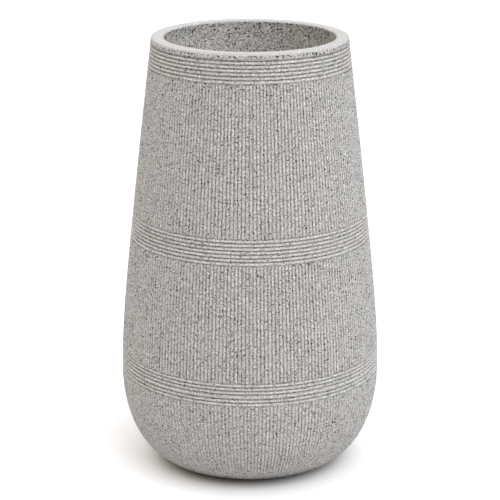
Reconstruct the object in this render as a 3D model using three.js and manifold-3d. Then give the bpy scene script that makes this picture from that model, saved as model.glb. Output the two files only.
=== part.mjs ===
// Tall resin planter: a moulded shell with ringed bands and ribs, a rubber drain plug and rubber foot pads.
// Millimetres, +Z up. The origin is on the floor, on the planter's axis.

import * as THREE from 'three';
import { mergeVertices } from 'three/addons/utils/BufferGeometryUtils.js';
import Module from 'manifold-3d';

const wasm = await Module();
wasm.setup();

// Outside of the shell
const HEIGHT = 508;
const MOUTH_RADIUS = 112.7; // outside of the rim, at its top
const BELLY_RADIUS = 151.8; // the widest point
const BELLY_HEIGHT = 113.5;
const BELLY_BEND = 78; // how gradually the taper straightens above the belly
const FOOT_RADIUS = 85; // flat part of the underside
const BOWL_POWER = 2.1; // squareness of the bowl below the belly, 2 being an ellipse

// Thickness of the shell
const RIM_WIDTH = 15.2;
const RIM_ROUND = 2.6;
const WALL_THICKNESS = 7; // at the belly, from where it grows towards the rim
const SEAT_WEB = 5; // base material under the seat of the drain plug
const UNDERSIDE_HOLLOW = 4; // how far the middle of the underside is raised

// Bands of rings round the outside, from the top one down
const RING_DEPTH = 2;
const RING_PITCH = 4.18;
const RIM_EDGE = 3.5; // plain edge between the rounding of the rim and the first crest
const TOP_BAND_RINGS = 6;
const MIDDLE_BAND_RINGS = 7;
const MIDDLE_FIELD = 134.2; // ribbed height between the middle band and the lower one
const LOWER_RINGS_ABOVE = 3;
const BROAD_RING = 5.6; // the one broader ring of the lower band
const LOWER_RINGS_BELOW = 2;
const LOWER_BAND_LEVEL = 114.9; // lowest groove of the lower band

// Upright grooves between the ribs of the fields that the bands part. The solid has every third groove.
const RIB_GROOVE = 1.8; // width at the surface
const RIB_DEPTH = 1.3;
const UPPER_GROOVES = 65;
const MIDDLE_GROOVES = 73;
const LOWER_GROOVES = 75;
const RIBS_START = 26; // level above which the lowest grooves have their full depth
const RIBS_RUN_OUT = 14; // height over which they fade out below it

// Drain outlet in the base and its plug
const OUTLET_RADIUS = 11.4;
const PLUG_CLEARANCE = 0.4;
const PLUG_TAPER = 0.8; // how much slimmer the stem is at its lower end
const FLANGE_LAP = 6.6; // how far the flange reaches past the stem
const FLANGE_THICKNESS = 3;
const NECK_RADIUS = 4.5;
const NECK_HEIGHT = 7;
const KNOB_LIP = 3.5; // how far the knob overhangs the neck
const KNOB_HEIGHT = 7;

// Foot pads and their pockets in the underside
const PAD_COUNT = 4;
const PAD_RADIUS = 11;
const PAD_SUNK = 2; // height inside the pocket
const PAD_PROUD = 3; // height that holds the underside off the floor
const PAD_EDGE = 0.8; // chamfer round the lower edge
const PAD_INSET = 17; // from the edge of the foot to the centre of a pad
const POCKET_CLEARANCE = 0.3;
const FOOT_LAND = 5; // between the pockets and the hollow of the underside

// Facets round each turned piece, away from the ribs
const SHELL_FACETS = 48;
const PLUG_FACETS = 28;
const PAD_FACETS = 24;

// Levels and radii that follow from the sizes above
const UNDERSIDE = PAD_PROUD;
const HOLLOW_LEVEL = UNDERSIDE + UNDERSIDE_HOLLOW;
const SEAT_LEVEL = HOLLOW_LEVEL + SEAT_WEB;
const FLOOR = SEAT_LEVEL + FLANGE_THICKNESS;
const STEM_RADIUS = OUTLET_RADIUS - PLUG_CLEARANCE;
const FLANGE_RADIUS = STEM_RADIUS + FLANGE_LAP;
const SEAT_RADIUS = FLANGE_RADIUS + PLUG_CLEARANCE;
const PAD_CIRCLE = FOOT_RADIUS - PAD_INSET;
const POCKET_RADIUS = PAD_RADIUS + POCKET_CLEARANCE;
const HOLLOW_RADIUS = PAD_CIRCLE - POCKET_RADIUS - FOOT_LAND;
const RIM_CORNER = Math.min(RIM_ROUND, RIM_WIDTH / 2);
const HALF_RING = RING_PITCH / 2;

const resin = new THREE.MeshStandardMaterial({ color: 0xadaba8, roughness: 0.85, metalness: 0 });
const rubber = new THREE.MeshStandardMaterial({ color: 0x2b2b2c, roughness: 0.7, metalness: 0 });

// Radius of the taper above the belly: a hyperbola, upright at the belly and nearly straight at the rim
function taperRadius(z, belly, mouth) {
  const bend = (rise) => Math.hypot(rise, BELLY_BEND) - BELLY_BEND;
  return belly - ((belly - mouth) * bend(z - BELLY_HEIGHT)) / bend(HEIGHT - BELLY_HEIGHT);
}

// Radius of the bowl below the belly: a quarter of a superellipse that ends flat at its bottom
function bowlRadius(z, belly, foot, bottom) {
  const drop = Math.min(1, (BELLY_HEIGHT - z) / (BELLY_HEIGHT - bottom));
  return foot + (belly - foot) * (1 - drop ** BOWL_POWER) ** (1 / BOWL_POWER);
}

function outerRadius(z) {
  if (z >= BELLY_HEIGHT) return taperRadius(z, BELLY_RADIUS, MOUTH_RADIUS);
  return bowlRadius(z, BELLY_RADIUS, FOOT_RADIUS, UNDERSIDE);
}

function innerRadius(z) {
  const belly = BELLY_RADIUS - WALL_THICKNESS;
  if (z >= BELLY_HEIGHT) return taperRadius(z, belly, MOUTH_RADIUS - RIM_WIDTH);
  return bowlRadius(z, belly, FOOT_RADIUS - WALL_THICKNESS, FLOOR);
}

// Points of a wall between two levels. A power above 1 crowds the levels towards the first one.
function wallPoints(radiusAt, from, to, steps, power = 1) {
  return Array.from({ length: steps + 1 }, (_, i) => {
    const z = from + (to - from) * (i / steps) ** power;
    return new THREE.Vector2(radiusAt(z), z);
  });
}

function bandHeight(rings) {
  return rings.reduce((sum, height) => sum + height, 0);
}

// A band of rings from its lowest groove up: a crest in the middle of each ring and a groove above it
function bandPoints(bottom, rings) {
  const points = [new THREE.Vector2(outerRadius(bottom) - RING_DEPTH, bottom)];
  let groove = bottom;
  for (const height of rings) {
    const crest = groove + height / 2;
    groove += height;
    points.push(new THREE.Vector2(outerRadius(crest), crest));
    points.push(new THREE.Vector2(outerRadius(groove) - RING_DEPTH, groove));
  }
  return points;
}

// A row of points round the axis at one level. Each point has its share of a turn and its radius.
function plainRow({ x: radius, y: level }) {
  const points = Array.from({ length: SHELL_FACETS }, (_, i) => ({ turn: i / SHELL_FACETS, radius }));
  return { level, points };
}

// A row of a ribbed field, where each groove has its floor between two shoulders
function ribbedRow(level, grooves) {
  const radius = outerRadius(level);
  const shoulder = RIB_GROOVE / 2 / (2 * Math.PI * radius);
  const points = [];
  for (let i = 0; i < grooves; i++) {
    points.push({ turn: i / grooves, radius: radius - RIB_DEPTH });
    points.push({ turn: i / grooves + shoulder, radius });
    points.push({ turn: (i + 1) / grooves - shoulder, radius });
  }
  return { level, points };
}

function fieldRows(from, to, steps, grooves, power = 1) {
  return wallPoints(outerRadius, from, to, steps, power).map(({ y: level }) => ribbedRow(level, grooves));
}

// The outside from the foot to the rim, with fields that stand proud of the band's grooves beside them
function outsideRows() {
  const plain = (count) => Array(count).fill(RING_PITCH);
  const topRings = plain(TOP_BAND_RINGS);
  const middleRings = plain(MIDDLE_BAND_RINGS);
  const lowerRings = [...plain(LOWER_RINGS_BELOW), BROAD_RING, ...plain(LOWER_RINGS_ABOVE)];
  const lowerTop = LOWER_BAND_LEVEL + bandHeight(lowerRings);
  const middleBottom = lowerTop + MIDDLE_FIELD;
  const middleTop = middleBottom + bandHeight(middleRings);
  const topTop = HEIGHT - RIM_CORNER - RIM_EDGE - HALF_RING;
  const topBottom = topTop - bandHeight(topRings);
  return [
    ...wallPoints(outerRadius, UNDERSIDE, RIBS_START - RIBS_RUN_OUT, 4, 1.8).map(plainRow),
    ...fieldRows(RIBS_START, LOWER_BAND_LEVEL - HALF_RING, 5, LOWER_GROOVES, 1.5),
    ...bandPoints(LOWER_BAND_LEVEL, lowerRings).map(plainRow),
    ...fieldRows(lowerTop + HALF_RING, middleBottom - HALF_RING, 2, MIDDLE_GROOVES),
    ...bandPoints(middleBottom, middleRings).map(plainRow),
    ...fieldRows(middleTop + HALF_RING, topBottom - HALF_RING, 1, UPPER_GROOVES),
    ...bandPoints(topBottom, topRings).map(plainRow),
    plainRow(new THREE.Vector2(outerRadius(topTop + HALF_RING), topTop + HALF_RING)),
  ];
}

// The flat top of the rim between its two rounded edges, from the outside to the inside
function rimPoints() {
  const level = HEIGHT - RIM_CORNER;
  const steps = 2;
  const edge = (centre, start) =>
    Array.from({ length: steps + 1 }, (_, i) => {
      const angle = start + (i / steps) * (Math.PI / 2);
      return new THREE.Vector2(centre + RIM_CORNER * Math.cos(angle), level + RIM_CORNER * Math.sin(angle));
    });
  return [
    ...edge(outerRadius(level) - RIM_CORNER, 0),
    ...edge(innerRadius(level) + RIM_CORNER, Math.PI / 2),
  ];
}

// The inside from below the rim to the edge of the floor
function insidePoints() {
  const upper = wallPoints(innerRadius, BELLY_HEIGHT, HEIGHT - RIM_CORNER, 4).reverse();
  const bowl = wallPoints(innerRadius, FLOOR, BELLY_HEIGHT, 6, 1.8).reverse();
  return [...upper.slice(1), ...bowl.slice(1)];
}

// Triangles between two rows, which take the next point round from the row that is behind
function bridge(lower, upper, lowerStart, upperStart) {
  const turnAfter = (row, i) => (i + 1 < row.length ? row[i + 1].turn : 1);
  const triangles = [];
  let i = 0;
  let j = 0;
  while (i < lower.length || j < upper.length) {
    const a = lowerStart + (i % lower.length);
    const b = upperStart + (j % upper.length);
    const lowerNext = j === upper.length || (i < lower.length && turnAfter(lower, i) <= turnAfter(upper, j));
    if (lowerNext) i += 1;
    else j += 1;
    const c = lowerNext ? lowerStart + (i % lower.length) : upperStart + (j % upper.length);
    triangles.push(a, c, b);
  }
  return triangles;
}

// A closed skin through rows, from each one to the next and from the last to the first
function wrapped(rows) {
  const positions = [];
  const starts = [];
  for (const { level, points } of rows) {
    starts.push(positions.length / 3);
    for (const { turn, radius } of points) {
      const angle = 2 * Math.PI * turn;
      positions.push(radius * Math.cos(angle), radius * Math.sin(angle), level);
    }
  }
  const triangles = rows.flatMap((row, k) => {
    const next = (k + 1) % rows.length;
    return bridge(row.points, rows[next].points, starts[k], starts[next]);
  });
  const geometry = new THREE.BufferGeometry();
  geometry.setAttribute('position', new THREE.Float32BufferAttribute(positions, 3));
  geometry.setIndex(triangles);
  return geometry;
}

function turned(points, facets) {
  const geometry = new THREE.LatheGeometry(points, facets);
  geometry.rotateX(Math.PI / 2);
  return geometry;
}

function toSolid(geometry) {
  const bare = geometry.clone();
  bare.deleteAttribute('normal');
  bare.deleteAttribute('uv');
  const merged = mergeVertices(bare);
  const vertProperties = new Float32Array(merged.attributes.position.array);
  const triVerts = new Uint32Array(merged.index.array);
  return new wasm.Manifold(new wasm.Mesh({ numProp: 3, vertProperties, triVerts }));
}

function toGeometry(solid) {
  const mesh = solid.getMesh();
  const geometry = new THREE.BufferGeometry();
  geometry.setAttribute('position', new THREE.BufferAttribute(mesh.vertProperties, 3));
  geometry.setIndex(new THREE.BufferAttribute(mesh.triVerts, 1));
  geometry.computeVertexNormals();
  return geometry;
}

function padPlaces() {
  return Array.from({ length: PAD_COUNT }, (_, i) => {
    const angle = ((i + 0.5) / PAD_COUNT) * 2 * Math.PI;
    return new THREE.Vector3(PAD_CIRCLE * Math.cos(angle), PAD_CIRCLE * Math.sin(angle), 0);
  });
}

// A cutter for one pad's pocket, from the floor level up to the pocket's ceiling
function pocketGeometry(place) {
  const ceiling = UNDERSIDE + PAD_SUNK + POCKET_CLEARANCE;
  const pocket = new THREE.CylinderGeometry(POCKET_RADIUS, POCKET_RADIUS, ceiling, PAD_FACETS);
  pocket.rotateX(Math.PI / 2);
  pocket.translate(place.x, place.y, ceiling / 2);
  return pocket;
}

function shellGeometry() {
  const outlet = [
    new THREE.Vector2(SEAT_RADIUS, FLOOR),
    new THREE.Vector2(SEAT_RADIUS, SEAT_LEVEL),
    new THREE.Vector2(OUTLET_RADIUS, SEAT_LEVEL),
    new THREE.Vector2(OUTLET_RADIUS, HOLLOW_LEVEL),
    new THREE.Vector2(HOLLOW_RADIUS, HOLLOW_LEVEL),
    new THREE.Vector2(HOLLOW_RADIUS, UNDERSIDE),
  ];
  const inside = [...rimPoints(), ...insidePoints()];
  let shell = toSolid(wrapped([...outlet.map(plainRow), ...outsideRows(), ...inside.map(plainRow)]));
  for (const place of padPlaces()) {
    shell = shell.subtract(toSolid(pocketGeometry(place)));
  }
  return toGeometry(shell);
}

// Stem, flange, neck and pull knob, with the underside of the flange at zero
function plugGeometry() {
  const knobBottom = FLANGE_THICKNESS + NECK_HEIGHT;
  const outline = [
    new THREE.Vector2(0, -SEAT_WEB),
    new THREE.Vector2(STEM_RADIUS - PLUG_TAPER, -SEAT_WEB),
    new THREE.Vector2(STEM_RADIUS, 0),
    new THREE.Vector2(FLANGE_RADIUS, 0),
    new THREE.Vector2(FLANGE_RADIUS, FLANGE_THICKNESS),
    new THREE.Vector2(NECK_RADIUS, FLANGE_THICKNESS),
  ];
  const steps = 6;
  for (let i = 0; i <= steps; i++) {
    const angle = (i / steps) * Math.PI - Math.PI / 2;
    const radius = NECK_RADIUS + KNOB_LIP * Math.cos(angle);
    const z = knobBottom + (KNOB_HEIGHT / 2) * (1 + Math.sin(angle));
    outline.push(new THREE.Vector2(radius, z));
  }
  outline.push(new THREE.Vector2(0, knobBottom + KNOB_HEIGHT));
  return turned(outline, PLUG_FACETS);
}

function padGeometry() {
  const outline = [
    new THREE.Vector2(0, 0),
    new THREE.Vector2(PAD_RADIUS - PAD_EDGE, 0),
    new THREE.Vector2(PAD_RADIUS, PAD_EDGE),
    new THREE.Vector2(PAD_RADIUS, PAD_PROUD + PAD_SUNK),
    new THREE.Vector2(0, PAD_PROUD + PAD_SUNK),
  ];
  return turned(outline, PAD_FACETS);
}

function addMesh(parent, name, geometry, material, place) {
  const mesh = new THREE.Mesh(geometry, material);
  mesh.name = name;
  mesh.position.copy(place);
  parent.add(mesh);
}

const planter = new THREE.Group();
planter.name = 'resin_planter';
addMesh(planter, 'planter_shell', shellGeometry(), resin, new THREE.Vector3());
addMesh(planter, 'drain_plug', plugGeometry(), rubber, new THREE.Vector3(0, 0, SEAT_LEVEL));
padPlaces().forEach((place, i) => {
  addMesh(planter, `foot_pad_${i + 1}`, padGeometry(), rubber, place);
});

export default planter;
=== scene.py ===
"""A tall speckled resin planter, ribbed and ringed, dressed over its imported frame. Metres, +Z up."""

import math
from collections import namedtuple

import bpy
import numpy as np
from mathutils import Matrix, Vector
from mathutils.geometry import delaunay_2d_cdt


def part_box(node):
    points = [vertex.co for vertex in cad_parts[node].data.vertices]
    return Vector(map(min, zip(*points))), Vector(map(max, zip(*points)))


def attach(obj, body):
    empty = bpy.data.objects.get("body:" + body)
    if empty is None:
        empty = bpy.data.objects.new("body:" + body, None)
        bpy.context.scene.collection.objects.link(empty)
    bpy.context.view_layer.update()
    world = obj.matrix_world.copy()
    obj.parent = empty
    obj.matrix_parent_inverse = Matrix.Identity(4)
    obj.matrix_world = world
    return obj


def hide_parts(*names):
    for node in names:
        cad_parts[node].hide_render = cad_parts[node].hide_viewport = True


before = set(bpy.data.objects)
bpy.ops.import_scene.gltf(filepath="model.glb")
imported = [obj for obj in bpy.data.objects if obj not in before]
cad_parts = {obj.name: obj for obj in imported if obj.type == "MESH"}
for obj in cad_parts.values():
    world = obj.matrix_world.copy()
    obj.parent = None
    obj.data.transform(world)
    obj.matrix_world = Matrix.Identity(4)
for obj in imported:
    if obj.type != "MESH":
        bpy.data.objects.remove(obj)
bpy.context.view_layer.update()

MM = 0.001
SEED = 7

# Outline of the shell, as in the part's source
SHELL_LOW, SHELL_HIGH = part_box("planter_shell")
HEIGHT = SHELL_HIGH.z
UNDERSIDE = SHELL_LOW.z
BELLY_RADIUS = SHELL_HIGH.x
MOUTH_RADIUS = 112.7 * MM
BELLY_HEIGHT = 113.5 * MM
BELLY_BEND = 78 * MM
FOOT_RADIUS = 85 * MM
BOWL_POWER = 2.1
RIM_WIDTH = 15.2 * MM
RIM_ROUND = 2.6 * MM
WALL_THICKNESS = 7 * MM
HOLLOW_LEVEL = UNDERSIDE + 4 * MM
SEAT_LEVEL = HOLLOW_LEVEL + 5 * MM
FLOOR = SEAT_LEVEL + 3 * MM
FLOOR_ROW_RADIUS = 50 * MM
SEAT_RADIUS = 18 * MM
SEAT_CHAMFER = 0.6 * MM
OUTLET_RADIUS = 11.4 * MM
HOLLOW_RADIUS = 51.7 * MM
POCKET_RADIUS = 11.3 * MM
POCKET_CEILING = UNDERSIDE + 2.3 * MM

# Rings and ribs of the outside
RING_PITCH = 4.18 * MM
BROAD_RING = 5.6 * MM
TOP_RINGS = [RING_PITCH] * 6
MIDDLE_RINGS = [RING_PITCH] * 7
LOWER_RINGS = [RING_PITCH] * 2 + [BROAD_RING] + [RING_PITCH] * 3
RIM_EDGE = 3.5 * MM
MIDDLE_FIELD = 134.2 * MM
LOWER_BAND_LEVEL = 114.9 * MM
UPPER_RIBS = 195
MIDDLE_RIBS = 219
LOWER_RIBS = 225
RING_DEPTH = 2 * MM
RIB_DEPTH = 1.3 * MM
BAND_EDGE_DEPTH = 1.2 * MM
BAND_GAP = 0.2 * MM
GROOVE_SHARE = 0.2
RING_POWER = 1.9
RIB_POWER = 2.2
RIB_UNEVENNESS = 0.05
FADE_LOW = 12 * MM
FADE_HIGH = 26 * MM

# Plug and pads
PLUG_STEM = 11 * MM
STEM_TAPER = 0.8 * MM
STEM_CORNER = 0.3 * MM
STEM_CORNER_DROP = 0.05 * MM
PLUG_NECK = 4.5 * MM
NECK_FILLET = 1.6 * MM
KNOB_LIP = 3.5 * MM
KNOB_HALF = 3.5 * MM
KNOB_DIMPLE = 0.5 * MM
RUBBER_EDGE = 0.8 * MM
PAD_NUMBERS = range(1, 5)
PAD_DISH = 0.25 * MM
DISH_FLAT_SHARE = 0.55
DISH_SHARE = 0.6

# Fineness of the meshes: steps across a ridge and into a rib's end, rows, columns, and sharp edges in degrees
CREST_STEP = 0.5
RIDGE_STEPS = np.array([0, 0.14, 0.31, CREST_STEP, 0.69, 0.86])
RIB_END_STEPS = np.array([0, 0.15, 0.38, 0.68, 1])
FOOT_ROWS = 8
LOWER_FIELD_ROWS = 14
FIELD_ROWS = 6
RIM_EDGE_ROWS = 2
RIM_CORNER_ROWS = 9
INSIDE_WALL_ROWS = 15
INSIDE_BOWL_ROWS = 17
KNOB_ROWS = 13
ARC_STEPS = 5
ROUND_COLUMNS = 160
POCKET_COLUMNS = 40
PLUG_COLUMNS = 64
PAD_COLUMNS = 48
SHELL_SHARP = 62
TURNED_SHARP = 50
FLAT_TOLERANCE = 1e-7
HOLLOW_SLACK = 0.999

# Relief of the skin's points, low in a groove and high on a crest, which the resin's colour shows as painted
# shade in the grooves and painted highlight on the crests
PLAIN_RELIEF = 0.6
# Painted light: the inside's relief is set high so that the resin's colour makes the inside wall paler
INSIDE_PAINTED_LIGHT_RELIEF = 1.5
RING_GROOVE_RELIEF = 0.36
RING_CREST_RELIEF = 1.25
RIB_GROOVE_RELIEF = 0.27
RIB_MEAN_RELIEF = 0.8
RIB_TONE_POWER = 3
# Painted highlight: the rounded ends of the ribs are made paler, standing in for the light they catch
RIB_END_PAINTED_HIGHLIGHT = 0.3
# How much of the painted groove shade and crest highlight is kept on the lower field
LOWER_PAINTED_CONTRAST = 0.5

# Growth of the grains at the skin's points, and the smooth finish of the rim, whose polish also carries
# painted light that makes the rim's upward faces paler
INSIDE_GRAIN = 1.35
EDGE_GRAIN = 1.4
RIM_GRAIN = 0.4
EDGE_POLISH_AND_LIGHT = 0.55
RIM_POLISH_AND_LIGHT = 1.0
# Painted light: polished faces are made this much paler, the rim's top most of all
POLISH_PAINTED_LIGHT = 1.32
POLISH_SMOOTHING = 0.8
RIM_OUTER_FINISH = 0.3
RIM_INNER_FINISH = 0.8

# Ground of the resin, with tones from its rarest dark grains to its palest
GRAIN_SIZE = 0.8 * MM
GRAIN_TONES = [(0.0, 0.08), (0.2, 0.29), (0.5, 0.386), (0.8, 0.45), (1.0, 0.65)]
WARMTH = (1.03, 1.0, 0.97)
SMOOTH_TONE = (0.373, 0.368, 0.363, 1)
CLOUD_SIZE = 70 * MM
CLOUD_TONES = (0.98, 1.02)
# Painted shade in the grooves and painted highlight on the crests, mixed by relief
GROOVE_PAINTED_SHADE = (0.68, 0.66, 0.63, 1)
CREST_PAINTED_HIGHLIGHT = (1.14, 1.14, 1.14, 1)

# Specks in the resin. Their growth is given for a groove and for a crest
PALE_SPECK = (0.8, 0.8, 0.79, 1)
DARK_SPECK = (0.03, 0.03, 0.031, 1)
PALE_HALO = (0.92, 0.92, 0.92, 1)
DARK_HALO = (1.2, 1.2, 1.2, 1)
PALE_GROWTH = (0.5, 1.1)
DARK_GROWTH = (1.4, 0.9)
SPECK_EDGE = 0.12 * MM
SPECK_HALO = 0.7 * MM
Specks = namedtuple("Specks", "colour halo growth cell share smallest largest")
SPECKS = [
    Specks(PALE_SPECK, PALE_HALO, "pale", 2.2 * MM, 0.5, 0.5 * MM, 0.75 * MM),
    Specks(DARK_SPECK, DARK_HALO, "dark", 2.0 * MM, 0.5, 0.4 * MM, 0.7 * MM),
    Specks(DARK_SPECK, DARK_HALO, "dark", 3.6 * MM, 0.55, 0.65 * MM, 1.1 * MM),
]

# Painted shade at the foot: a near-black band under the turn of the foot below a ragged edge, with little
# shine, standing in for the shade where the planter meets the floor, and a painted shade that darkens the
# resin for a short rise above the band
UNDERSIDE_PAINTED_SHADE = (0.015, 0.0145, 0.014, 1)
UNDERSIDE_SHADE_SHINE = 0.03
RESIN_SHINE = 0.3
PAINTED_SHADE_EDGE = UNDERSIDE + 6.9 * MM
PAINTED_SHADE_FADE = 1 * MM
RAGGED_SIZE = 6 * MM
RAGGED_DROP = 1.5 * MM
FOOT_PAINTED_SHADE = 0.62
FOOT_SHADE_RISE = 8 * MM

# Rubber, and the fine surface of both materials
PLUG_RUBBER = (0.03, 0.03, 0.032)
PAD_RUBBER = (0.025, 0.025, 0.026)
BLOOM_SIZE = 9 * MM
BLOOM_GAIN = 1.9
BLOOM_LIFT = 0.004
NOISE_SPREAD = (0.3, 0.7)
BUMP_STRENGTH = 0.25
RESIN_BUMP_SIZE = 0.9 * MM
RESIN_BUMP_HEIGHT = 0.2 * MM
RESIN_ROUGHNESS = (0.78, 0.95)
RUBBER_BUMP_SIZE = 0.5 * MM
RUBBER_BUMP_HEIGHT = 0.1 * MM
RUBBER_ROUGHNESS = (0.52, 0.72)

# Camera, fitted to the photograph's frame
CAMERA_DISTANCE = 2.2609
CAMERA_ELEVATION = math.radians(16.713)
CAMERA_AIM = Vector((0, 0, 0.25327))
PHOTO_SIDE = 500
FOCAL_PIXELS = 1925.6
SENSOR = 36

# Room: the floor's colour as seen and as it lights the planter, the sky by height, the lamps by direction
FLOOR_SIDE = 40
FLOOR_TONE = (0.99, 0.99, 0.99, 1)
FLOOR_BOUNCE = (0.84, 0.84, 0.84, 1)
FLOOR_ROUGHNESS = 0.9
BACKDROP = (1, 1, 1, 1)
SKY = [
    (0.25, (0, 0, 0)),
    (0.5, (0.8, 0.53, 0.24)),
    (0.75, (1.08, 1.1, 1.12)),
    (1.0, (0.45, 0.45, 0.45)),
]
LAMPS = {
    "right_front": ((0.55, -0.55, 0.62), (2.5, 2.73, 3.0, 1)),
    "left_back": ((-0.7, 0.5, 0.5), (1.27, 1.26, 1.25, 1)),
    "back": ((0, 0.86, 0.5), (0.54, 0.66, 0.82, 1)),
}
LAMP_FOCUS = 4
LAMP_FADE = (0.12, 0.42)

Row = namedtuple("Row", "angles radius level relief grain polish")
rng = np.random.default_rng(SEED)


# Outline formulas

def taper_radius(z, belly, mouth):
    def bend(rise):
        return np.hypot(rise, BELLY_BEND) - BELLY_BEND
    return belly - (belly - mouth) * bend(z - BELLY_HEIGHT) / bend(HEIGHT - BELLY_HEIGHT)


def bowl_radius(z, belly, foot, bottom):
    drop = np.clip((BELLY_HEIGHT - z) / (BELLY_HEIGHT - bottom), 0, 1)
    return foot + (belly - foot) * (1 - drop**BOWL_POWER) ** (1 / BOWL_POWER)


def outer_radius(z):
    if z >= BELLY_HEIGHT:
        return taper_radius(z, BELLY_RADIUS, MOUTH_RADIUS)
    return bowl_radius(z, BELLY_RADIUS, FOOT_RADIUS, UNDERSIDE)


def inner_radius(z):
    belly = BELLY_RADIUS - WALL_THICKNESS
    if z >= BELLY_HEIGHT:
        return taper_radius(z, belly, MOUTH_RADIUS - RIM_WIDTH)
    return bowl_radius(z, belly, FOOT_RADIUS - WALL_THICKNESS, FLOOR)


def ridge(offset, power):
    """Height, 0 to 1, of a round-backed ridge at an offset from its crest. At 1 is the groove beside it."""
    return np.clip(1 - np.abs(offset) ** power, 0, 1) ** (1 / power)


def smooth_step(value):
    t = np.clip(value, 0, 1)
    return t * t * (3 - 2 * t)


# Rows of points round the shell

def round_row(radius, level, relief=PLAIN_RELIEF, grain=1.0, polish=0.0, columns=ROUND_COLUMNS):
    full = np.ones(columns)
    angles = np.arange(columns) * (2 * math.pi / columns)
    return Row(angles, radius * full, level * full, relief * full, grain * full, polish * full)


def wall_rows(radius_at, levels, relief=PLAIN_RELIEF, grain=1.0, polish=0.0):
    return [round_row(radius_at(z), z, relief, grain, polish) for z in levels]


def ring_row(level, offset, depth):
    """A row of a ring's back, at an offset from its crest. At 1 is the floor of the groove beside it."""
    stand = float(ridge(offset, RING_POWER))
    relief = RING_GROOVE_RELIEF + (RING_CREST_RELIEF - RING_GROOVE_RELIEF) * stand
    return round_row(outer_radius(level) - depth * (1 - stand), level, relief)


def ring_level(groove, height, step):
    """Level of a step across a ring, given the middle of the groove below it."""
    return groove + height * (GROOVE_SHARE / 2 + (1 - GROOVE_SHARE) * step)


def band_rows(bottom, rings, top_depth=BAND_EDGE_DEPTH):
    """A band of rings with flat-floored grooves between them and shallower ones at its edges."""
    rows = []
    for number, height in enumerate(rings):
        groove = bottom + sum(rings[:number])
        for step in [*RIDGE_STEPS, 1]:
            depth = RING_DEPTH
            if number == 0 and step < CREST_STEP:
                depth = BAND_EDGE_DEPTH
            if number == len(rings) - 1 and step > CREST_STEP:
                depth = top_depth
            rows.append(ring_row(ring_level(groove, height, step), 2 * step - 1, depth))
    return rows


def field_rows(bottom, top, ribs, between, fades=False, painted_contrast=1.0):
    """Vertical ribs with rounded ends, or with a smooth fade at the bottom.

    Painted contrast is how much of the painted shade in the grooves and painted highlight on the crests is
    kept.
    """
    half = math.pi * outer_radius((bottom + top) / 2) / ribs
    ends = half * RIB_END_STEPS
    low = bottom if fades else bottom + half
    middle = np.linspace(low, top - half, between)
    levels = [*([] if fades else bottom + ends[:-1]), *middle, *(top - ends[:-1])[::-1]]
    turns = np.arange(ribs)[:, None] + RIDGE_STEPS
    angles = (turns / ribs * 2 * math.pi).ravel()
    offset = np.tile(2 * RIDGE_STEPS - 1, ribs)
    height = np.repeat(1 - RIB_UNEVENNESS * rng.random(ribs), len(RIDGE_STEPS))
    flat = np.ones(len(angles))
    rows = []
    for level in levels:
        room = top - level if fades else min(level - bottom, top - level)
        into_end = np.clip(1 - room / half, 0, 1)
        stand = ridge(np.hypot(offset, into_end), RIB_POWER)
        depth = 1.0
        if fades:
            depth = float(smooth_step((level - FADE_LOW) / (FADE_HIGH - FADE_LOW)))
        radius = outer_radius(level) - RIB_DEPTH * (1 - stand * height) * depth
        # Crest tone: painted shade in the grooves and painted highlight on the crests
        crest = RIB_GROOVE_RELIEF + (1 - RIB_GROOVE_RELIEF) * stand**RIB_TONE_POWER
        # Painted highlight at the rounded ends of the ribs
        crest = crest * (1 + RIB_END_PAINTED_HIGHLIGHT * into_end)
        crest = RIB_MEAN_RELIEF + (crest - RIB_MEAN_RELIEF) * painted_contrast
        relief = PLAIN_RELIEF + (crest - PLAIN_RELIEF) * depth
        rows.append(Row(angles, radius, level * flat, relief, flat, 0 * flat))
    return rows


def rim_corner(centre, start, end, finish):
    """A rounded edge of the rim, in degrees from straight out.

    Finish is the share of its rise from which its smooth finish, and the painted light that pales its upward
    faces, is whole.
    """
    rows = []
    for angle in np.radians(np.linspace(start, end, RIM_CORNER_ROWS)):
        out, up = math.cos(angle), math.sin(angle)
        share = min(1, up / finish)
        grain = EDGE_GRAIN + (RIM_GRAIN - EDGE_GRAIN) * share
        polish = EDGE_POLISH_AND_LIGHT + (RIM_POLISH_AND_LIGHT - EDGE_POLISH_AND_LIGHT) * share
        place = centre + RIM_ROUND * out, HEIGHT - RIM_ROUND * (1 - up)
        rows.append(round_row(*place, PLAIN_RELIEF, grain, polish))
    return rows


def rim_rows(first_groove):
    """The plain edge above the top band, the rounded edges of the rim and its flat top."""
    rows = []
    for step in RIDGE_STEPS[RIDGE_STEPS <= CREST_STEP]:
        row = ring_row(ring_level(first_groove, RING_PITCH, step), 2 * step - 1, RING_DEPTH)
        rows.append(row._replace(relief=np.minimum(row.relief, PLAIN_RELIEF)))
    level = HEIGHT - RIM_ROUND
    plain = np.linspace(first_groove + RING_PITCH, level, RIM_EDGE_ROWS, endpoint=False)
    rows += wall_rows(outer_radius, plain, PLAIN_RELIEF, EDGE_GRAIN, EDGE_POLISH_AND_LIGHT)
    outer = outer_radius(level) - RIM_ROUND
    inner = inner_radius(level) + RIM_ROUND
    return [
        *rows,
        *rim_corner(outer, 0, 90, RIM_OUTER_FINISH),
        round_row((outer + inner) / 2, HEIGHT, PLAIN_RELIEF, RIM_GRAIN, RIM_POLISH_AND_LIGHT),
        *rim_corner(inner, 90, 180, RIM_INNER_FINISH),
    ]


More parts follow.
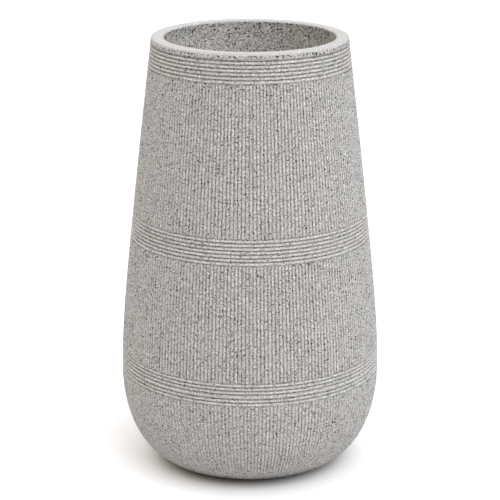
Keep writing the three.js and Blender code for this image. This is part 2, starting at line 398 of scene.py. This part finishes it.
def inside_rows():
    """The inside from below the rim, over the floor and down through the drain outlet to the underside."""
    wall = np.linspace(HEIGHT - RIM_ROUND, BELLY_HEIGHT, INSIDE_WALL_ROWS + 1)[1:]
    turn = np.linspace(0, math.pi / 2, INSIDE_BOWL_ROWS + 1)[1:]
    bowl = BELLY_HEIGHT + (FLOOR - BELLY_HEIGHT) * np.sin(turn)
    # The inside's high relief paints the inside wall paler, as painted light
    rows = wall_rows(inner_radius, [*wall, *bowl], INSIDE_PAINTED_LIGHT_RELIEF, INSIDE_GRAIN)
    steps = [
        (FLOOR_ROW_RADIUS, FLOOR),
        (SEAT_RADIUS + SEAT_CHAMFER, FLOOR),
        (SEAT_RADIUS, FLOOR - SEAT_CHAMFER),
        (SEAT_RADIUS, SEAT_LEVEL),
        (OUTLET_RADIUS, SEAT_LEVEL),
        (OUTLET_RADIUS, HOLLOW_LEVEL),
        (HOLLOW_RADIUS, HOLLOW_LEVEL),
        (HOLLOW_RADIUS, UNDERSIDE),
    ]
    return rows + [round_row(radius, level, INSIDE_PAINTED_LIGHT_RELIEF) for radius, level in steps]


def outside_rows():
    """The outside from the foot up to the rim: fields of ribs with bands of rings between them."""
    lower_top = LOWER_BAND_LEVEL + sum(LOWER_RINGS)
    middle_bottom = lower_top + MIDDLE_FIELD
    middle_top = middle_bottom + sum(MIDDLE_RINGS)
    top_top = HEIGHT - RIM_ROUND - RIM_EDGE - RING_PITCH / 2
    top_bottom = top_top - sum(TOP_RINGS)
    gap = BAND_GAP
    foot = UNDERSIDE + (FADE_LOW - UNDERSIDE) * np.linspace(0, 1, FOOT_ROWS, endpoint=False) ** 2
    lower_field = FADE_LOW, LOWER_BAND_LEVEL - gap, LOWER_RIBS, LOWER_FIELD_ROWS
    return [
        *wall_rows(outer_radius, foot),
        *field_rows(*lower_field, fades=True, painted_contrast=LOWER_PAINTED_CONTRAST),
        *band_rows(LOWER_BAND_LEVEL, LOWER_RINGS),
        *field_rows(lower_top + gap, middle_bottom - gap, MIDDLE_RIBS, FIELD_ROWS),
        *band_rows(middle_bottom, MIDDLE_RINGS),
        *field_rows(middle_top + gap, top_bottom - gap, UPPER_RIBS, FIELD_ROWS),
        *band_rows(top_bottom, TOP_RINGS, RING_DEPTH),
        *rim_rows(top_top),
    ]


# Meshes

class Skin:
    """Collects rows of points and the faces between them."""

    def __init__(self):
        self.points = []
        self.relief = []
        self.grain = []
        self.polish = []
        self.faces = []

    def add_row(self, row, centre=(0, 0)):
        first = len(self.points)
        x = centre[0] + row.radius * np.cos(row.angles)
        y = centre[1] + row.radius * np.sin(row.angles)
        self.points += zip(x.tolist(), y.tolist(), row.level.tolist())
        self.relief += row.relief.tolist()
        self.grain += row.grain.tolist()
        self.polish += row.polish.tolist()
        return list(range(first, len(self.points))), row.angles

    def add_point(self, place):
        self.points.append(tuple(place))
        self.relief.append(PLAIN_RELIEF)
        self.grain.append(1.0)
        self.polish.append(0.0)
        return len(self.points) - 1

    def bridge(self, start, end):
        """Faces from one row to the next, facing out where the rows climb the outside."""
        a, a_angles = start
        b, b_angles = end
        if len(a) == len(b):
            a_next, b_next = a[1:] + a[:1], b[1:] + b[:1]
            self.faces += zip(a, a_next, b_next, b)
            return
        i = j = 0
        while i < len(a) or j < len(b):
            a_ahead = a_angles[i + 1] if i + 1 < len(a) else 2 * math.pi * (1 + (i >= len(a)))
            b_ahead = b_angles[j + 1] if j + 1 < len(b) else 2 * math.pi * (1 + (j >= len(b)))
            here_a, here_b = a[i % len(a)], b[j % len(b)]
            if a_ahead <= b_ahead:
                i += 1
                self.faces.append((here_a, a[i % len(a)], here_b))
            else:
                j += 1
                self.faces.append((here_a, b[j % len(b)], here_b))

    def fan(self, row, place, flip=False):
        """Closes a row with faces to one point, facing on from the row, or back from it where flipped."""
        middle = self.add_point(place)
        ring = row[0]
        ahead = ring[1:] + ring[:1]
        if flip:
            ring, ahead = ahead, ring
        self.faces += zip(ring, ahead, [middle] * len(ring))

    def to_object(self, name, sharp_degrees):
        mesh = bpy.data.meshes.new(name)
        mesh.from_pydata(self.points, [], self.faces)
        for attribute in ("relief", "grain", "polish"):
            values = getattr(self, attribute)
            mesh.attributes.new(attribute, "FLOAT", "POINT").data.foreach_set("value", values)
        mesh.shade_smooth()
        mesh.set_sharp_from_angle(angle=math.radians(sharp_degrees))
        mesh.update()
        made = bpy.data.objects.new(name, mesh)
        bpy.context.scene.collection.objects.link(made)
        return made


def pad_centres():
    corners = [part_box(f"foot_pad_{i}") for i in PAD_NUMBERS]
    return [(low + high) / 2 for low, high in corners]


def add_underside(skin, hollow, foot):
    """The flat ring of the foot with a pocket for each pad."""
    centres = pad_centres()
    loops = [foot[0], hollow[0]]
    for centre in centres:
        mouth = skin.add_row(round_row(POCKET_RADIUS, UNDERSIDE, columns=POCKET_COLUMNS), centre)
        ceiling = skin.add_row(round_row(POCKET_RADIUS, POCKET_CEILING, columns=POCKET_COLUMNS), centre)
        skin.bridge(ceiling, mouth)
        skin.fan(ceiling, (centre.x, centre.y, POCKET_CEILING), flip=True)
        loops.append(mouth[0])
    indices = [i for loop in loops for i in loop]
    flat = [Vector(skin.points[i][:2]) for i in indices]
    edges = []
    first = 0
    for loop in loops:
        count = len(loop)
        edges += [(first + k, first + (k + 1) % count) for k in range(count)]
        first += count
    points, _, faces, origins, _, _ = delaunay_2d_cdt(flat, edges, [], 0, FLAT_TOLERANCE)
    for face in faces:
        middle = sum((points[i] for i in face), Vector((0, 0))) / len(face)
        in_pocket = any((middle - centre.xy).length < POCKET_RADIUS for centre in centres)
        if not in_pocket and HOLLOW_RADIUS * HOLLOW_SLACK < middle.length < FOOT_RADIUS:
            skin.faces.append(tuple(indices[origins[i][0]] for i in reversed(face)))


def make_shell():
    skin = Skin()
    rows = [skin.add_row(row) for row in outside_rows() + inside_rows()]
    for start, end in zip(rows, rows[1:]):
        skin.bridge(start, end)
    add_underside(skin, rows[-1], rows[0])
    return skin.to_object("planter_shell_skin", SHELL_SHARP)


# Plug and pads

def turned_object(name, outline, columns):
    """A turned piece from (radius, level) points, which start and end on the axis."""
    skin = Skin()
    rows = [skin.add_row(round_row(r, z, columns=columns)) for r, z in outline[1:-1]]
    for start, end in zip(rows, rows[1:]):
        skin.bridge(start, end)
    skin.fan(rows[0], (0, 0, outline[0][1]), flip=True)
    skin.fan(rows[-1], (0, 0, outline[-1][1]))
    return skin.to_object(name, TURNED_SHARP)


def arc(centre, radius, start, end):
    """Points of an arc, angles in degrees from straight out."""
    angles = [math.radians(a) for a in np.linspace(start, end, ARC_STEPS + 1)]
    return [(centre[0] + radius * math.cos(a), centre[1] + radius * math.sin(a)) for a in angles]


def make_plug():
    low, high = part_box("drain_plug")
    flange = high.x
    edge = RUBBER_EDGE
    knob_level = high.z - KNOB_HALF
    knob = [(PLUG_NECK + KNOB_LIP * math.cos(a), knob_level + KNOB_HALF * math.sin(a))
            for a in np.linspace(-math.pi / 2, math.pi / 2, KNOB_ROWS)]
    outline = [
        (0, low.z),
        *arc((PLUG_STEM - STEM_TAPER - edge, low.z + edge), edge, -90, 0),
        (PLUG_STEM, SEAT_LEVEL - STEM_CORNER_DROP),
        (PLUG_STEM + STEM_CORNER, SEAT_LEVEL),
        *arc((flange - edge / 2, SEAT_LEVEL + edge / 2), edge / 2, -90, 0),
        *arc((flange - edge, FLOOR - edge), edge, 0, 90),
        *arc((PLUG_NECK + NECK_FILLET, FLOOR + NECK_FILLET), NECK_FILLET, 270, 180),
        *knob,
        (PLUG_NECK / 2, high.z - KNOB_DIMPLE / 2),
        (0, high.z - KNOB_DIMPLE),
    ]
    return turned_object("drain_plug_body", outline, PLUG_COLUMNS)


def make_pad(index):
    low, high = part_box(f"foot_pad_{index}")
    radius = (high.x - low.x) / 2
    edge = RUBBER_EDGE
    outline = [
        (0, PAD_DISH),
        (radius * DISH_FLAT_SHARE, PAD_DISH),
        (radius * DISH_SHARE, 0),
        *arc((radius - edge, edge), edge, -90, 0),
        *arc((radius - edge / 2, high.z - edge / 2), edge / 2, 0, 90),
        (0, high.z),
    ]
    pad = turned_object(f"foot_pad_{index}_body", outline, PAD_COLUMNS)
    pad.location = ((low.x + high.x) / 2, (low.y + high.y) / 2, 0)
    return pad


# Nodes

def add_node(tree, kind, inputs=(), **settings):
    made = tree.nodes.new(kind)
    for name, value in settings.items():
        setattr(made, name, value)
    for name, value in dict(inputs).items():
        if isinstance(value, bpy.types.NodeSocket):
            tree.links.new(value, made.inputs[name])
        else:
            made.inputs[name].default_value = value
    return made


def math_node(tree, operation, first, second):
    return add_node(tree, "ShaderNodeMath", {0: first, 1: second}, operation=operation).outputs[0]


def mix_colours(tree, factor, first, second, blend="MIX", clamp=True):
    inputs = {"Factor": factor, 6: first, 7: second}
    made = add_node(tree, "ShaderNodeMix", inputs, data_type="RGBA", blend_type=blend, clamp_factor=clamp)
    return made.outputs[2]


def map_range(tree, value, from_low, from_high, to_low, to_high):
    inputs = {0: value, 1: from_low, 2: from_high, 3: to_low, 4: to_high}
    return add_node(tree, "ShaderNodeMapRange", inputs).outputs[0]


def noise(tree, coords, feature, detail, roughness=0.5):
    """Noise with features of about the given size, 0 to 1 around 0.5."""
    inputs = {"Vector": coords, "Scale": 1 / feature, "Detail": detail, "Roughness": roughness}
    return add_node(tree, "ShaderNodeTexNoise", inputs).outputs[0]


def set_stops(ramp, stops):
    """Sets a colour ramp's stops from pairs of a position and a colour."""
    elements = ramp.color_ramp.elements
    while len(elements) < len(stops):
        elements.new(1.0)
    for element, (position, colour) in zip(elements, stops):
        element.position = position
        element.color = (*colour, 1)


def attribute(tree, name):
    return add_node(tree, "ShaderNodeAttribute", attribute_name=name).outputs["Fac"]


def new_material(name):
    made = bpy.data.materials.new(name)
    made.use_nodes = True
    tree = made.node_tree
    return made, tree, tree.nodes["Principled BSDF"]


# Materials

def add_surface(tree, shader, height, bump_height, wear, roughness):
    """Fine bumps from one noise, and a roughness that follows another."""
    inputs = {"Strength": BUMP_STRENGTH, "Distance": bump_height, "Height": height}
    bump = add_node(tree, "ShaderNodeBump", inputs)
    tree.links.new(bump.outputs[0], shader.inputs["Normal"])
    rough = map_range(tree, wear, *NOISE_SPREAD, *roughness)
    tree.links.new(rough, shader.inputs["Roughness"])


def resin_ground(tree, coords, grain_growth, polish):
    """The fine grains of the resin, smoothed where it is polished, under faint clouds."""
    grains = add_node(tree, "ShaderNodeTexVoronoi", {"Vector": coords, "Scale": 1 / GRAIN_SIZE})
    chance = add_node(tree, "ShaderNodeSeparateColor", {0: grains.outputs["Color"]}).outputs[0]
    tones = add_node(tree, "ShaderNodeValToRGB", {0: chance})
    set_stops(tones, [(place, [grey * warm for warm in WARMTH]) for place, grey in GRAIN_TONES])
    smoothing = map_range(tree, polish, 0, 1, 1, 1 - POLISH_SMOOTHING)
    contrast = math_node(tree, "MULTIPLY", smoothing, grain_growth)
    ground = mix_colours(tree, contrast, SMOOTH_TONE, tones.outputs[0], clamp=False)
    ground = mix_colours(tree, 1.0, ground, DARK_SPECK, "LIGHTEN")
    clouds = noise(tree, coords, CLOUD_SIZE, detail=3)
    cloud_tone = map_range(tree, clouds, *NOISE_SPREAD, *CLOUD_TONES)
    return mix_colours(tree, 1.0, ground, cloud_tone, "MULTIPLY")


def speck_masks(tree, coords, growth, kind):
    """Masks of scattered specks and of the halo round them. They sit in a share of the cells."""
    cells = add_node(tree, "ShaderNodeTexVoronoi", {"Vector": coords, "Scale": 1 / kind.cell})
    chance = add_node(tree, "ShaderNodeSeparateColor", {0: cells.outputs["Color"]})
    there = math_node(tree, "LESS_THAN", chance.outputs[0], kind.share)
    radius = map_range(tree, chance.outputs[1], 0, 1, kind.smallest / kind.cell, kind.largest / kind.cell)
    radius = math_node(tree, "MULTIPLY", radius, growth)
    depth = math_node(tree, "SUBTRACT", radius, cells.outputs["Distance"])
    inside = map_range(tree, depth, 0, SPECK_EDGE / kind.cell, 0, 1)
    halo = map_range(tree, depth, -SPECK_HALO / kind.cell, 0, 0, 1)
    return math_node(tree, "MULTIPLY", inside, there), math_node(tree, "MULTIPLY", halo, there)


def add_specks(tree, coords, colour, relief, grain_growth):
    """Pale specks, larger on the crests, and dark ones, larger in the grooves."""
    dark_growth = map_range(tree, relief, 0, RING_CREST_RELIEF, *DARK_GROWTH)
    growths = {
        "pale": map_range(tree, relief, 0, 1, *PALE_GROWTH),
        "dark": math_node(tree, "MULTIPLY", dark_growth, grain_growth),
    }
    for kind in SPECKS:
        inside, halo = speck_masks(tree, coords, growths[kind.growth], kind)
        colour = mix_colours(tree, halo, colour, kind.halo, "MULTIPLY")
        colour = mix_colours(tree, inside, colour, kind.colour)
    return colour


def make_resin():
    made, tree, shader = new_material("speckled_resin")
    coords = add_node(tree, "ShaderNodeTexCoord").outputs["Object"]
    relief = attribute(tree, "relief")
    grain_growth = attribute(tree, "grain")
    polish = attribute(tree, "polish")

    colour = resin_ground(tree, coords, grain_growth, polish)
    # Painted shade in the grooves and painted highlight on the crests, by relief
    relief_painted_light = mix_colours(tree, relief, GROOVE_PAINTED_SHADE, CREST_PAINTED_HIGHLIGHT, clamp=False)
    colour = mix_colours(tree, 1.0, colour, relief_painted_light, "MULTIPLY")
    colour = add_specks(tree, coords, colour, relief, grain_growth)
    # Painted light: the polished rim, most of all its upward faces, is made paler
    polish_painted_light = map_range(tree, polish, 0, 1, 1, POLISH_PAINTED_LIGHT)
    colour = mix_colours(tree, 1.0, colour, polish_painted_light, "MULTIPLY")

    # Painted shade at the foot: a near-black band under the turn of the foot with a ragged edge, and a
    # darkening for a short rise above it
    level = add_node(tree, "ShaderNodeSeparateXYZ", {0: coords}).outputs["Z"]
    ragged = math_node(tree, "MULTIPLY", noise(tree, coords, RAGGED_SIZE, detail=3), RAGGED_DROP)
    ragged_level = math_node(tree, "ADD", level, ragged)
    clear_of_painted_shade = map_range(tree, ragged_level, PAINTED_SHADE_EDGE, PAINTED_SHADE_EDGE + PAINTED_SHADE_FADE, 0, 1)
    foot_shade = map_range(tree, level, PAINTED_SHADE_EDGE, PAINTED_SHADE_EDGE + FOOT_SHADE_RISE, FOOT_PAINTED_SHADE, 1)
    colour = mix_colours(tree, 1.0, colour, foot_shade, "MULTIPLY")
    colour = mix_colours(tree, clear_of_painted_shade, UNDERSIDE_PAINTED_SHADE, colour)
    tree.links.new(colour, shader.inputs["Base Color"])
    # Less shine on the painted shade band, which keeps it dark
    shine = map_range(tree, clear_of_painted_shade, 0, 1, UNDERSIDE_SHADE_SHINE, RESIN_SHINE)
    tree.links.new(shine, shader.inputs["Specular IOR Level"])

    grain = noise(tree, coords, RESIN_BUMP_SIZE, detail=3, roughness=0.6)
    add_surface(tree, shader, grain, RESIN_BUMP_HEIGHT, grain, RESIN_ROUGHNESS)
    return made


def make_rubber(name, colour):
    made, tree, shader = new_material(name)
    coords = add_node(tree, "ShaderNodeTexCoord").outputs["Object"]
    bloom = noise(tree, coords, BLOOM_SIZE, detail=4, roughness=0.6)
    dusty = tuple(c * BLOOM_GAIN + BLOOM_LIFT for c in colour)
    tone = mix_colours(tree, bloom, (*colour, 1), (*dusty, 1))
    tree.links.new(tone, shader.inputs["Base Color"])
    skin = noise(tree, coords, RUBBER_BUMP_SIZE, detail=2)
    add_surface(tree, shader, skin, RUBBER_BUMP_HEIGHT, bloom, RUBBER_ROUGHNESS)
    return made


def dress(piece, material, node, body):
    piece.data.materials.append(material)
    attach(piece, body)
    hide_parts(node)


# Room

def make_floor():
    mesh = bpy.data.meshes.new("floor")
    half = FLOOR_SIDE / 2
    corners = [(-half, -half, 0), (half, -half, 0), (half, half, 0), (-half, half, 0)]
    mesh.from_pydata(corners, [], [(0, 1, 2, 3)])
    floor = bpy.data.objects.new("floor", mesh)
    bpy.context.scene.collection.objects.link(floor)
    made, tree, shader = new_material("pale_floor")
    path = add_node(tree, "ShaderNodeLightPath")
    seen = math_node(tree, "MAXIMUM", path.outputs["Is Camera Ray"], path.outputs["Is Glossy Ray"])
    seen = math_node(tree, "MAXIMUM", seen, path.outputs["Is Transmission Ray"])
    tone = mix_colours(tree, seen, FLOOR_BOUNCE, FLOOR_TONE)
    tree.links.new(tone, shader.inputs["Base Color"])
    shader.inputs["Roughness"].default_value = FLOOR_ROUGHNESS
    shader.inputs["Specular IOR Level"].default_value = 0.0
    mesh.materials.append(made)


def lobe(tree, way, axis, colour):
    """A wide soft light round a direction, falling to nothing at right angles to it."""
    inputs = {0: way, 1: axis}
    facing = add_node(tree, "ShaderNodeVectorMath", inputs, operation="DOT_PRODUCT").outputs["Value"]
    strength = math_node(tree, "POWER", math_node(tree, "MAXIMUM", facing, 0.0), LAMP_FOCUS)
    return mix_colours(tree, 1.0, strength, colour, "MULTIPLY")


def make_world():
    """A soft overhead light and wide soft lamps round the planter, which fade out towards the horizon."""
    world = bpy.data.worlds.new("studio")
    bpy.context.scene.world = world
    world.use_nodes = True
    tree = world.node_tree
    tree.nodes.clear()
    way = add_node(tree, "ShaderNodeTexCoord").outputs["Generated"]
    height = add_node(tree, "ShaderNodeSeparateXYZ", {0: way}).outputs["Z"]
    sky = add_node(tree, "ShaderNodeValToRGB", {0: height})
    set_stops(sky, SKY)
    light = sky.outputs[0]
    above = map_range(tree, height, *LAMP_FADE, 0, 1)
    for axis, colour in LAMPS.values():
        lamp = mix_colours(tree, 1.0, lobe(tree, way, axis, colour), above, "MULTIPLY")
        light = mix_colours(tree, 1.0, light, lamp, "ADD")
    path = add_node(tree, "ShaderNodeLightPath")
    shown = mix_colours(tree, path.outputs["Is Camera Ray"], light, BACKDROP)
    back = add_node(tree, "ShaderNodeBackground", {"Color": shown, "Strength": 1.0})
    out = add_node(tree, "ShaderNodeOutputWorld")
    tree.links.new(back.outputs[0], out.inputs[0])


def make_camera():
    data = bpy.data.cameras.new("camera")
    data.sensor_width = SENSOR
    data.lens = FOCAL_PIXELS / PHOTO_SIDE * SENSOR
    camera = bpy.data.objects.new("camera", data)
    back = Vector((0, -math.cos(CAMERA_ELEVATION), math.sin(CAMERA_ELEVATION)))
    camera.location = CAMERA_AIM + back * CAMERA_DISTANCE
    camera.rotation_euler = (-back).to_track_quat("-Z", "Y").to_euler()
    bpy.context.scene.collection.objects.link(camera)
    bpy.context.scene.camera = camera


make_camera()
make_floor()
make_world()
bpy.context.scene.view_settings.view_transform = "Standard"

resin = make_resin()
plug_rubber = make_rubber("plug_rubber", PLUG_RUBBER)
pad_rubber = make_rubber("pad_rubber", PAD_RUBBER)
dress(make_shell(), resin, "planter_shell", "pot")
dress(make_plug(), plug_rubber, "drain_plug", "plug")
for number in PAD_NUMBERS:
    dress(make_pad(number), pad_rubber, f"foot_pad_{number}", "pot")
